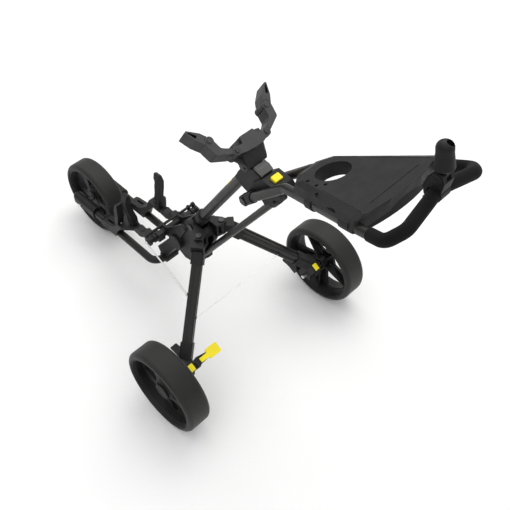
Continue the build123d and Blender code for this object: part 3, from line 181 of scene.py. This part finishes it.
def moulded(
    name, base, lighter, edge, rough=(0.42, 0.6), grain=1400, rounded=0.0008, specular=0.4, dust_and_painted_top_light=None
):
    """Black moulded nylon with a fine spark-eroded grain and paler, rubbed edges; upward faces can take a
    painted top light.
    """
    f = Finish(name)
    clouds = f.noise(22, 5, 0.6)
    fine = f.noise(grain, 2, 0.6)
    specks = f.cells(grain * 0.8)
    worn = f.combine(f.edges(), f.spread(f.noise(90, 6, 0.7), 0.3, 0.7, 0.25, 1.0))
    colour = f.blend(f.spread(clouds, 0.3, 0.7, 0.0, 1.0), base, lighter)
    colour = f.blend(f.spread(fine, 0.45, 0.75, 0.0, 0.25), colour, lighter)
    # Painted top light: upward faces are painted paler in the given colour, with a faint mottle, standing in
    # for the light that falls on them.
    if dust_and_painted_top_light:
        painted_top_light = f.combine(f.upward(), f.spread(f.noise(35, 6, 0.65), 0.25, 0.6, 0.7, 1.0))
        colour = f.blend(painted_top_light, colour, dust_and_painted_top_light)
    colour = f.blend(worn, colour, edge)
    roughness = f.combine(f.spread(clouds, 0.3, 0.7, *rough), f.spread(fine, 0.3, 0.7, -0.05, 0.06), "ADD")
    f.bump(specks, 0.12, 0.0002, rounded)
    f.bump(fine, 0.10, 0.00015)
    return f.finish(colour, roughness, specular=specular)


def coated(name, base, lighter, edge, rough=(0.32, 0.46)):
    """Satin powder coat on tube: a soft orange-peel skin with small scuffs along the run."""
    f = Finish(name)
    peel = f.noise(420, 3, 0.55)
    broad = f.noise(9, 4, 0.6)
    scuffs = f.noise(160, 8, 0.8, stretch=(1.0, 0.25, 0.25), distortion=0.4)
    scuffed = f.spread(scuffs, 0.66, 0.78, 0.0, 0.45)
    colour = f.blend(f.spread(broad, 0.3, 0.7, 0.0, 1.0), base, lighter)
    colour = f.blend(scuffed, colour, edge)
    colour = f.blend(f.combine(f.edges(0.0015), 0.6), colour, edge)
    roughness = f.combine(f.spread(broad, 0.3, 0.7, *rough), f.spread(scuffs, 0.5, 0.8, 0.0, 0.14), "ADD")
    f.bump(peel, 0.16, 0.00025, 0.0005)
    return f.finish(colour, roughness, specular=0.32, Coat_Weight=0.05, Coat_Roughness=0.35)


def rubber(name, base, dusty, rough=(0.5, 0.66)):
    """Smooth solid tyre with a broad dull sheen, faint mould lines and dust in the pores."""
    f = Finish(name)
    pores = f.noise(900, 4, 0.65)
    dust_and_painted_top_light = f.noise(14, 7, 0.7, distortion=0.3)
    colour = f.blend(f.spread(dust_and_painted_top_light, 0.38, 0.75, 0.0, 0.7), base, dusty)
    colour = f.blend(f.spread(pores, 0.5, 0.8, 0.0, 0.3), colour, dusty)
    colour = f.blend(f.combine(f.edges(0.003), 0.35), colour, dusty)
    roughness = f.combine(f.spread(dust_and_painted_top_light, 0.3, 0.7, *rough), f.spread(pores, 0.3, 0.7, -0.04, 0.05), "ADD")
    f.bump(pores, 0.14, 0.0002, 0.0008)
    f.bump(dust_and_painted_top_light, 0.05, 0.0006)
    return f.finish(colour, roughness, specular=0.36, Sheen_Weight=0.05, Sheen_Roughness=0.5)


def foam(name, base, lighter):
    """Closed-cell foam: dense tiny pores that drink the light."""
    f = Finish(name)
    pores = f.cells(1500)
    soft = f.noise(60, 6, 0.7)
    colour = f.blend(f.spread(soft, 0.35, 0.7, 0.0, 1.0), base, lighter)
    colour = f.blend(f.spread(pores, 0.0, 0.35, 0.5, 0.0), colour, (0.004, 0.004, 0.004))
    roughness = f.spread(soft, 0.3, 0.7, 0.72, 0.9)
    f.bump(pores, 0.35, 0.0004)
    f.bump(soft, 0.12, 0.0006)
    return f.finish(colour, roughness, specular=0.14, Sheen_Weight=0.02, Sheen_Roughness=0.6)


def bright(name, base, shade, rough=(0.28, 0.42)):
    """Bright moulded plastic with slightly darker, grubby pores and paler rubbed edges."""
    f = Finish(name)
    clouds = f.noise(45, 6, 0.65)
    fine = f.noise(1300, 2, 0.5)
    colour = f.blend(f.spread(clouds, 0.35, 0.8, 0.0, 0.5), base, shade)
    colour = f.blend(f.combine(f.edges(0.0012), 0.4), colour, (1.0, 0.9, 0.4))
    roughness = f.combine(f.spread(clouds, 0.3, 0.7, *rough), f.spread(fine, 0.3, 0.7, -0.03, 0.05), "ADD")
    f.bump(fine, 0.10, 0.0002, 0.0005)
    return f.finish(colour, roughness, specular=0.22)


def metal(name, base, stain, rough=(0.2, 0.36)):
    """Zinc plate with fine brushing and dull stains."""
    f = Finish(name)
    brush = f.noise(700, 5, 0.7)
    stains = f.noise(70, 6, 0.7)
    colour = f.blend(f.spread(stains, 0.42, 0.8, 0.0, 0.6), base, stain)
    colour = f.blend(f.spread(brush, 0.4, 0.8, 0.0, 0.2), colour, stain)
    roughness = f.combine(f.spread(brush, 0.3, 0.7, *rough), f.spread(stains, 0.4, 0.8, 0.0, 0.12), "ADD")
    f.bump(brush, 0.10, 0.00015, 0.0004)
    return f.finish(colour, roughness, metallic=1.0)


looks = {
    "black_cast": moulded(
        "nylon_casting",
        (0.006, 0.006, 0.0062),
        (0.010, 0.010, 0.0104),
        (0.050, 0.050, 0.051),
        specular=0.24,
        # paler colour painted on upward faces: painted top light
        dust_and_painted_top_light=(0.017, 0.017, 0.0172),
    ),
    "black_tube": coated(
        "satin_tube", (0.009, 0.0087, 0.0082), (0.014, 0.0135, 0.0128), (0.055, 0.053, 0.050)
    ),
    "black_shell": moulded(
        "shell_plastic",
        (0.005, 0.005, 0.0052),
        (0.009, 0.009, 0.0092),
        (0.080, 0.080, 0.080),
        rough=(0.46, 0.62),
        grain=1700,
        specular=0.24,
        # paler colour painted on upward faces: painted top light
        dust_and_painted_top_light=(0.013, 0.013, 0.0132),
    ),
    "tyre": rubber("solid_tyre", (0.009, 0.0087, 0.0081), (0.020, 0.0192, 0.0178)),
    "foam": foam("grip_foam_skin", (0.004, 0.004, 0.004), (0.008, 0.008, 0.008)),
    "yellow": bright("yellow_plastic", (0.98, 0.84, 0.022), (0.92, 0.75, 0.016)),
    "steel": metal("zinc_plate", (0.80, 0.80, 0.81), (0.50, 0.50, 0.51)),
    "cable": metal("bare_wire", (0.86, 0.86, 0.87), (0.66, 0.66, 0.67)),
}
bracket_look = moulded(
    "bracket_nylon",
    (0.016, 0.016, 0.0165),
    (0.024, 0.024, 0.0245),
    (0.11, 0.11, 0.11),
    rough=(0.42, 0.58),
    specular=0.28,
    # paler colour painted on upward faces: painted top light
    dust_and_painted_top_light=(0.066, 0.066, 0.067),
)
pale_nylon = moulded(
    "pale_nylon", (0.085, 0.085, 0.085), (0.11, 0.11, 0.11), (0.2, 0.2, 0.2), rough=(0.35, 0.5)
)
dark_bolt = metal("black_oxide", (0.07, 0.07, 0.072), (0.035, 0.035, 0.036), rough=(0.3, 0.46))

node_slot = {s["node"]: s["material_slot"] for s in frame["record"]["subparts"]}
special = {
    "bracket_yoke": bracket_look,
    "upper_arm_left": bracket_look,
    "upper_arm_right": bracket_look,
    "upper_finger_left": bracket_look,
    "upper_finger_right": bracket_look,
    "latch_lever": pale_nylon,
    "bracket_bolts": dark_bolt,
    "hub_pins": dark_bolt,
    "head_pins": dark_bolt,
}
for name, obj in nodes.items():
    obj.data.materials.clear()
    obj.data.materials.append(special.get(name, looks[node_slot[name]]))


# ------------------------------------------------------------ small pieces
def mesh_object(name, points, faces, look, smooth=True):
    """A new mesh in the scene with one material."""
    mesh = bpy.data.meshes.new(name)
    mesh.from_pydata([tuple(p) for p in points], [], faces)
    mesh.validate()
    for polygon in mesh.polygons:
        polygon.use_smooth = smooth
    obj = bpy.data.objects.new(name, mesh)
    scene.collection.objects.link(obj)
    mesh.materials.append(look)
    return obj


def make_piece(name, points, faces, look, slot, body, smooth=True):
    """A mesh piece that rides on a body."""
    obj = mesh_object(name, points, faces, look, smooth)
    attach(obj, body)
    return obj


def wrapped_band(name, start, direction, radius, outward, half_angle, first, last, slot, body):
    """A thin band of film stuck round part of a tube, from one distance along it to another."""
    gap = 0.0001
    thickness = 0.0004
    rows, columns = 6, 15
    direction = Vector(direction).normalized()
    outward = Vector(outward)
    outward = (outward - direction * outward.dot(direction)).normalized()
    sideways = direction.cross(outward)
    points, faces = [], []
    for shell in (radius + gap, radius + thickness):
        for row in range(rows):
            along = first + (last - first) * row / (rows - 1)
            for column in range(columns):
                turn = half_angle * (2 * column / (columns - 1) - 1)
                reach = outward * math.cos(turn) + sideways * math.sin(turn)
                points.append(start + direction * along + reach * shell)
    layer = rows * columns
    for row in range(rows - 1):
        for column in range(columns - 1):
            a = row * columns + column
            quad = (a, a + 1, a + columns + 1, a + columns)
            faces.append(quad[::-1])
            faces.append(tuple(i + layer for i in quad))
    rim = list(range(columns))
    rim += [r * columns + columns - 1 for r in range(1, rows)]
    rim += [(rows - 1) * columns + c for c in range(columns - 2, -1, -1)]
    rim += [r * columns for r in range(rows - 2, 0, -1)]
    for i, a in enumerate(rim):
        b = rim[(i + 1) % len(rim)]
        faces.append((a, b, b + layer, a + layer))
    return make_piece(name, points, faces, looks[slot], slot, body)


SPINE_LEAN = math.radians(57.2)
SPINE_RADIUS = 0.0155
FORK_RADIUS = 0.013
spine_foot = at(0, -217, 414)
spine_run = Vector((0, math.cos(SPINE_LEAN), math.sin(SPINE_LEAN)))
spine_outward = (-0.10, -0.90, 0.30)
fork_nose = at(60, -768, 147)
fork_run = (at(60, -388, 136) - fork_nose).normalized()
fork_outward = (0.80, 0.0, -0.42)
for name, start, run, radius, outward, degrees, first, last, slot, body in (
    ("spine_stripe", spine_foot, spine_run, SPINE_RADIUS, spine_outward, 42, 0.300, 0.338, "yellow", "spine"),
    ("fork_patch", fork_nose, fork_run, FORK_RADIUS, fork_outward, 40, 0.156, 0.172, "yellow", "frame"),
    ("fork_stripe", fork_nose, fork_run, FORK_RADIUS, fork_outward, 9, 0.060, 0.152, "steel", "frame"),
):
    wrapped_band(name, start, run, radius, outward, math.radians(degrees), first, last, slot, body)


def round_line(places, radius, sides=8):
    """The points and faces of a thin round line through the given places."""
    points, faces = [], []
    for i, place in enumerate(places):
        ahead = (places[min(i + 1, len(places) - 1)] - places[max(i - 1, 0)]).normalized()
        across = ahead.cross(Vector((0, 0, 1))).normalized()
        upward = across.cross(ahead)
        for k in range(sides):
            turn = 2 * math.pi * k / sides
            points.append(place + (across * math.cos(turn) + upward * math.sin(turn)) * radius)
    for i in range(len(places) - 1):
        for k in range(sides):
            a, b = i * sides + k, i * sides + (k + 1) % sides
            faces.append((a, b, b + sides, a + sides))
    faces.append(tuple(range(sides))[::-1])
    faces.append(tuple(range(len(points) - sides, len(points))))
    return points, faces


CONSOLE_SLOPE = math.radians(23.3)
console_centre = at(0, 432, 979)
console_up = Vector((0, -math.sin(CONSOLE_SLOPE), math.cos(CONSOLE_SLOPE)))
console_back = Vector((0, math.cos(CONSOLE_SLOPE), math.sin(CONSOLE_SLOPE)))


def on_console(x, back, rise):
    """A place on the tray, in millimetres across, up the slope and above its middle plane."""
    level = console_centre + Vector((x / 1000, 0, 0))
    return level + console_back * (back / 1000) + console_up * (rise / 1000)


SEAM_FRONT = -130
SEAM_BACK = 17
SEAM_STEP = 7
SEAM_RISE = 24.0
SEAM_RADIUS = 0.0005
# Painted shadow: a thin near-black line laid along the tray seam, where the seam's groove is in shade.
seam_shadow_look = moulded(
    "seam_shadow",
    (0.003, 0.003, 0.003),
    (0.005, 0.005, 0.005),
    (0.02, 0.02, 0.02),
    rough=(0.6, 0.8),
    specular=0.1,
)


def seam_place(sign, back):
    """A place on the tray's seam, which runs outwards as it goes back."""
    nearest = 70
    flare = 0.264
    return on_console(sign * (nearest + flare * (back - SEAM_FRONT)), back, SEAM_RISE)


for sign, label in SIDES:
    seam = [seam_place(sign, back) for back in range(SEAM_FRONT, SEAM_BACK, SEAM_STEP)]
    make_piece("tray_seam_shadow_" + label, *round_line(seam, SEAM_RADIUS), seam_shadow_look, "black_shell", "handle")


def blind_cup(name, mouth, axis, radius, depth, slot, body):
    """A small closed cup that hangs under a hole."""
    wall = 0.001
    sides = 20
    turn = Vector(axis).normalized().to_track_quat("Z", "Y").to_matrix()
    profile = [(radius, 0.0), (radius, -depth), (radius - wall, wall - depth), (radius - wall, 0.0)]
    points, faces = [], []
    for reach, rise in profile:
        for k in range(sides):
            angle = 2 * math.pi * k / sides
            points.append(mouth + turn @ Vector((reach * math.cos(angle), reach * math.sin(angle), rise)))
    for ring in (0, 2, 3):
        after = (ring + 1) % len(profile)
        for k in range(sides):
            n = (k + 1) % sides
            faces.append((ring * sides + k, ring * sides + n, after * sides + n, after * sides + k))
    faces.append(tuple(range(sides, 2 * sides))[::-1])
    faces.append(tuple(range(2 * sides, 3 * sides)))
    return make_piece(name, points, faces, looks[slot], slot, body, smooth=False)


TEE_PLACES = ((52, -190), (60, -156), (50, -139), (82, -136))
TEE_MOUTH_RISE = 20.5
TEE_RADIUS = 0.0055
TEE_DEPTH = 0.018
for number, (x, back) in enumerate(TEE_PLACES, 1):
    mouth = on_console(x, back, TEE_MOUTH_RISE)
    blind_cup("tee_cup_" + str(number), mouth, console_up, TEE_RADIUS, TEE_DEPTH, "black_shell", "handle")


def follow_two(obj, source):
    """Puts a piece in place of a CAD node: hides the node and bakes the piece's place into its mesh."""
    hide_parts(source)
    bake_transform(obj)


def bent_copy(name, source):
    """The held rod again as a mesh, in place of its CAD node."""
    obj = bpy.data.objects.new(name, nodes[source].data.copy())
    scene.collection.objects.link(obj)
    follow_two(obj, source)


def taut_wire(name, source, start, end, radius):
    """One half of the thin bare wire that is drawn taut between the legs."""
    steps = 16
    places = [start.lerp(end, i / steps) for i in range(steps + 1)]
    obj = mesh_object(name, *round_line(places, radius), looks[node_slot[source]])
    follow_two(obj, source)


WIRE_RADIUS = 0.0008
WIRE_BEHIND = -46.5
WIRE_HEIGHT = 269
WIRE_REACH = 170.8
for sign, label in SIDES:
    bent_copy("stay_rod_" + label, "tie_rod_" + label)
    wire_middle = at(0, WIRE_BEHIND, WIRE_HEIGHT)
    wire_end = at(sign * WIRE_REACH, WIRE_BEHIND, WIRE_HEIGHT)
    taut_wire("brake_line_" + label, "brake_cable", wire_middle, wire_end, WIRE_RADIUS)


def screw(name, place, axis, radius, height, slot, body):
    """A domed screw head with a hexagon socket in it."""
    sides = 24
    socket = 0.50
    socket_floor = 0.35
    sixth = math.pi / 3
    turn = Vector(axis).normalized().to_track_quat("Z", "Y").to_matrix()
    rings = ((socket, socket_floor), (socket, 1.0), (0.80, 0.86), (1.0, 0.45), (1.0, 0.0))
    points = [place + turn @ Vector((0, 0, socket_floor * height))]
    for share, rise in rings:
        for k in range(sides):
            angle = 2 * math.pi * k / sides
            reach = share * radius
            if share == socket:
                reach *= math.cos(sixth / 2) / math.cos((angle % sixth) - sixth / 2)
            corner = Vector((reach * math.cos(angle), reach * math.sin(angle), rise * height))
            points.append(place + turn @ corner)
    faces = []
    for k in range(sides):
        n = (k + 1) % sides
        faces.append((0, 1 + k, 1 + n))
        for ring in range(len(rings) - 1):
            inner = 1 + ring * sides
            outer = inner + sides
            faces.append((inner + k, outer + k, outer + n, inner + n))
    return make_piece(name, points, faces, looks[slot], slot, body, smooth=False)


for sign, label in SIDES:
    screw("plate_screw_" + label, at(sign * 82, -515, 252), (0, 0, 1), 0.0036, 0.0022, "steel", "frame")
    stop_place = at(sign * (WIRE_REACH + 1.3), WIRE_BEHIND - 1.9, WIRE_HEIGHT)
    stop_axis = (-0.57 * sign, 0.82, 0)
    screw("wire_stop_" + label, stop_place, stop_axis, 0.0032, 0.0028, "black_cast", label + "_leg")


# ------------------------------------------------------------ floor, light and camera
def look_at(obj, target):
    """Turns a lamp to face a place."""
    obj.rotation_euler = (Vector(target) - obj.location).to_track_quat("-Z", "Y").to_euler()


FLOOR_REACH = 30
floor_corners = [(FLOOR_REACH * x, FLOOR_REACH * y, 0) for x, y in ((-1, -1), (1, -1), (1, 1), (-1, 1))]
floor_data = bpy.data.meshes.new("floor")
floor_data.from_pydata(floor_corners, [], [(0, 1, 2, 3)])
floor = bpy.data.objects.new("floor", floor_data)
scene.collection.objects.link(floor)
paper = Finish("studio_floor")
mottle = paper.spread(paper.noise(3, 3, 0.5), 0.3, 0.7, 0.0, 1.0)
tone = paper.blend(mottle, (0.90, 0.90, 0.90), (0.92, 0.92, 0.92))
paper.finish(tone, paper.spread(paper.noise(30, 2, 0.5), 0.3, 0.7, 0.85, 0.95), specular=0.1)
floor_data.materials.append(paper.material)

world = bpy.data.worlds.new("studio")
scene.world = world
world.use_nodes = True
sky = world.node_tree
backdrop = sky.nodes["Background"]
backdrop.inputs["Strength"].default_value = 1.0
direction = sky.nodes.new("ShaderNodeTexCoord")
split = sky.nodes.new("ShaderNodeSeparateXYZ")
height = sky.nodes.new("ShaderNodeMapRange")
height.inputs["From Min"].default_value = 0.0
height.inputs["From Max"].default_value = 1.0
height.inputs["To Min"].default_value = SKY_AT_HORIZON
height.inputs["To Max"].default_value = SKY_OVERHEAD
sky.links.new(direction.outputs["Generated"], split.inputs[0])
sky.links.new(split.outputs["Z"], height.inputs["Value"])
sky.links.new(height.outputs["Result"], backdrop.inputs["Color"])
seen = sky.nodes.new("ShaderNodeBackground")
seen.name = "seen_backdrop"
seen.inputs["Color"].default_value = (BACKDROP, BACKDROP, BACKDROP, 1)
path = sky.nodes.new("ShaderNodeLightPath")
either = sky.nodes.new("ShaderNodeMixShader")
sky.links.new(path.outputs["Is Camera Ray"], either.inputs[0])
sky.links.new(backdrop.outputs[0], either.inputs[1])
sky.links.new(seen.outputs[0], either.inputs[2])
sky.links.new(either.outputs[0], sky.nodes["World Output"].inputs["Surface"])
scene.view_settings.view_transform = "Standard"
scene.view_settings.look = "None"


def softbox(name, place, target, size, watts, colour=(1.0, 1.0, 1.0)):
    """A large soft lamp that faces its target."""
    data = bpy.data.lights.new(name, "AREA")
    data.shape = "RECTANGLE"
    data.size, data.size_y = size
    data.energy = watts
    data.color = colour
    lamp = bpy.data.objects.new(name, data)
    scene.collection.objects.link(lamp)
    lamp.location = place
    look_at(lamp, target)


middle = (0.0, 0.0, 0.5)
softbox("key_light", (-1.9, -0.7, 3.1), middle, (2.6, 2.6), 34, (1.0, 0.985, 0.955))
softbox("fill_light", (2.6, 2.2, 2.2), middle, (2.5, 2.5), 3, (0.97, 0.985, 1.0))
softbox("rim_light", (-1.0, -3.0, 1.8), middle, (2.0, 1.2), 10)

camera_data = bpy.data.cameras.new("camera")
camera_data.sensor_width = 36.0
camera_data.lens = 53.48
camera = bpy.data.objects.new("camera", camera_data)
scene.collection.objects.link(camera)
yaw, pitch, roll = (math.radians(a) for a in (-136.5, -49.26, -1.63))
stand = at(933.9, 1009.4, 2037.6)
forward = Vector((math.sin(yaw) * math.cos(pitch), math.cos(yaw) * math.cos(pitch), math.sin(pitch)))
side = forward.cross(Vector((0, 0, 1))).normalized()
above = side.cross(forward)
right = side * math.cos(roll) + above * math.sin(roll)
top = -side * math.sin(roll) + above * math.cos(roll)
camera.matrix_world = Matrix(
    [(right[i], top[i], -forward[i], stand[i]) for i in range(3)] + [(0, 0, 0, 1)]
)
scene.camera = camera
